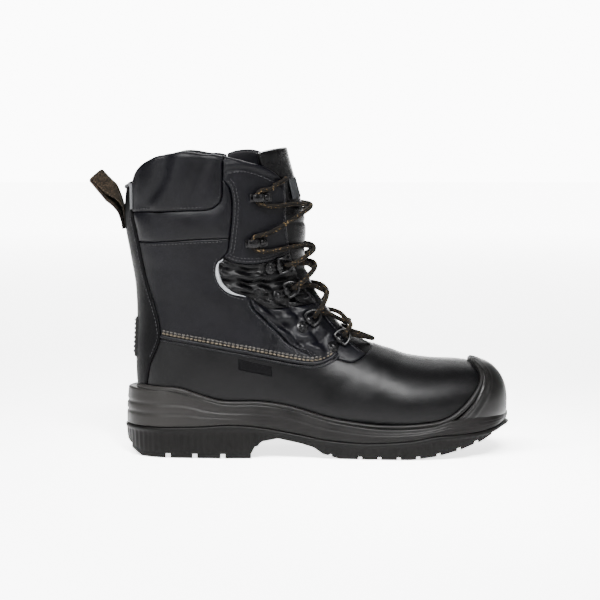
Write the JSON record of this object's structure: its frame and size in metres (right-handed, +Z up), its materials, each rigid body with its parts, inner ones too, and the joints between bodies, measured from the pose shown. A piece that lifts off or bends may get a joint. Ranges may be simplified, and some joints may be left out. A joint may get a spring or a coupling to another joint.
{
  "type": "steel toe work boot",
  "caption": "High-leg lace-up safety boot with a scuff cap over a steel toe, padded collar, flexing ankle panel, ring and hook lacing, rear pull loop and lugged rubber sole.",
  "frame": {"origin": "centre of the boot's bounding box in plan, on the floor under the sole", "axes": "+X towards the toe, +Z up, +Y the inner side, so -Y is the outer side of this right boot"},
  "size_m": [0.3344, 0.1072, 0.2424],
  "materials": {
    "leather": "satin, broad grain",
    "soft_leather": "soft satin, wrinkled",
    "rubber": "matt",
    "steel": "brushed",
    "board": "matt pressed board",
    "lining_cloth": "matt mesh",
    "grey_trim": "slightly reflective tape",
    "black_metal": "glossy black",
    "cord_cloth": "woven, flecked",
    "tag_cloth": "woven"
  },
  "bodies": {
    "boot": {"ankle_band_lateral": "leather", "ankle_band_medial": "leather", "backstay": "leather", "collar_binding": "grey_trim", "collar_pad_lateral": "leather", "collar_pad_medial": "leather", "flex_gusset_lateral": "soft_leather", "flex_gusset_medial": "soft_leather", "heel_counter": "board", "heel_patch": "rubber", "hook_rivet_lateral_1": "black_metal", "hook_rivet_lateral_2": "black_metal", "hook_rivet_medial_1": "black_metal", "hook_rivet_medial_2": "black_metal", "insole_board": "board", "lace": "cord_cloth", "lace_hook_lateral_1": "black_metal", "lace_hook_lateral_2": "black_metal", "lace_hook_medial_1": "black_metal", "lace_hook_medial_2": "black_metal", "lining": "lining_cloth", "lower_eyestay_lateral": "leather", "lower_eyestay_medial": "leather", "midsole": "rubber", "outsole": "rubber", "piping_lateral": "grey_trim", "piping_medial": "grey_trim", "quarter_lateral": "leather", "quarter_medial": "leather", "ring_clip_lateral_1": "black_metal", "ring_clip_lateral_2": "black_metal", "ring_clip_lateral_3": "black_metal", "ring_clip_lateral_4": "black_metal", "ring_clip_medial_1": "black_metal", "ring_clip_medial_2": "black_metal", "ring_clip_medial_3": "black_metal", "ring_clip_medial_4": "black_metal", "seam_tape_lateral": "leather", "seam_tape_medial": "leather", "shank": "steel", "side_tag": "tag_cloth", "steel_toe_cap": "steel", "toe_bumper": "rubber", "toe_cap_edge_strip": "rubber", "tongue": "soft_leather", "upper_facing_lateral": "leather", "upper_facing_medial": "leather", "vamp": "leather"},
    "pull_loop": {"pull_loop": "cord_cloth"},
    "tongue_end": {"tongue_top": "soft_leather", "tongue_label": "grey_trim"},
    "loose_footbed": {"footbed": "lining_cloth"},
    "ring_lateral_1": {"d_ring_lateral_1": "black_metal"},
    "ring_lateral_2": {"d_ring_lateral_2": "black_metal"},
    "ring_lateral_3": {"d_ring_lateral_3": "black_metal"},
    "ring_lateral_4": {"d_ring_lateral_4": "black_metal"},
    "ring_medial_1": {"d_ring_medial_1": "black_metal"},
    "ring_medial_2": {"d_ring_medial_2": "black_metal"},
    "ring_medial_3": {"d_ring_medial_3": "black_metal"},
    "ring_medial_4": {"d_ring_medial_4": "black_metal"}
  },
  "joints": [
    {"name": "pull_loop_swing", "type": "hinge", "parent": "boot", "child": "pull_loop", "pos_m": [-0.1425, 0, 0.1945], "axis": [0, 1, 0], "range_deg": [-60, 15]},
    {"name": "tongue_fold", "type": "hinge", "parent": "boot", "child": "tongue_end", "pos_m": [-0.0014, 0, 0.198], "axis": [0, 1, 0], "range_deg": [0, 40]},
    {"name": "footbed_lift", "type": "hinge", "parent": "boot", "child": "loose_footbed", "pos_m": [0.15, 0, 0.0305], "axis": [0, 1, 0], "range_deg": [0, 3]},
    {"name": "ring_swing_lateral_1", "type": "hinge", "parent": "boot", "child": "ring_lateral_1", "pos_m": [0.0302, -0.02977, 0.09148], "axis": [-0.7333, 0.1494, 0.6633], "range_deg": [-5, 5]},
    {"name": "ring_swing_lateral_2", "type": "hinge", "parent": "boot", "child": "ring_lateral_2", "pos_m": [0.00656, -0.03192, 0.1071], "axis": [-0.6679, 0.0624, 0.7417], "range_deg": [-5, 5]},
    {"name": "ring_swing_lateral_3", "type": "hinge", "parent": "boot", "child": "ring_lateral_3", "pos_m": [-0.01115, -0.03239, 0.13026], "axis": [-0.4332, -0.0267, 0.9009], "range_deg": [-5, 5]},
    {"name": "ring_swing_lateral_4", "type": "hinge", "parent": "boot", "child": "ring_lateral_4", "pos_m": [-0.01702, -0.03466, 0.1498], "axis": [-0.1671, -0.127, 0.9777], "range_deg": [-5, 5]},
    {"name": "ring_swing_medial_1", "type": "hinge", "parent": "boot", "child": "ring_medial_1", "pos_m": [0.03018, 0.02466, 0.0915], "axis": [0.7364, 0.156, -0.6583], "range_deg": [-5, 5]},
    {"name": "ring_swing_medial_2", "type": "hinge", "parent": "boot", "child": "ring_medial_2", "pos_m": [0.00667, 0.02809, 0.10698], "axis": [0.6464, 0.0147, -0.7629], "range_deg": [-5, 5]},
    {"name": "ring_swing_medial_3", "type": "hinge", "parent": "boot", "child": "ring_medial_3", "pos_m": [-0.01091, 0.03122, 0.12988], "axis": [0.3489, -0.1625, -0.923], "range_deg": [-5, 5]},
    {"name": "ring_swing_medial_4", "type": "hinge", "parent": "boot", "child": "ring_medial_4", "pos_m": [-0.01702, 0.03466, 0.1498], "axis": [0.1671, -0.127, -0.9777], "range_deg": [-5, 5]}
  ]
}
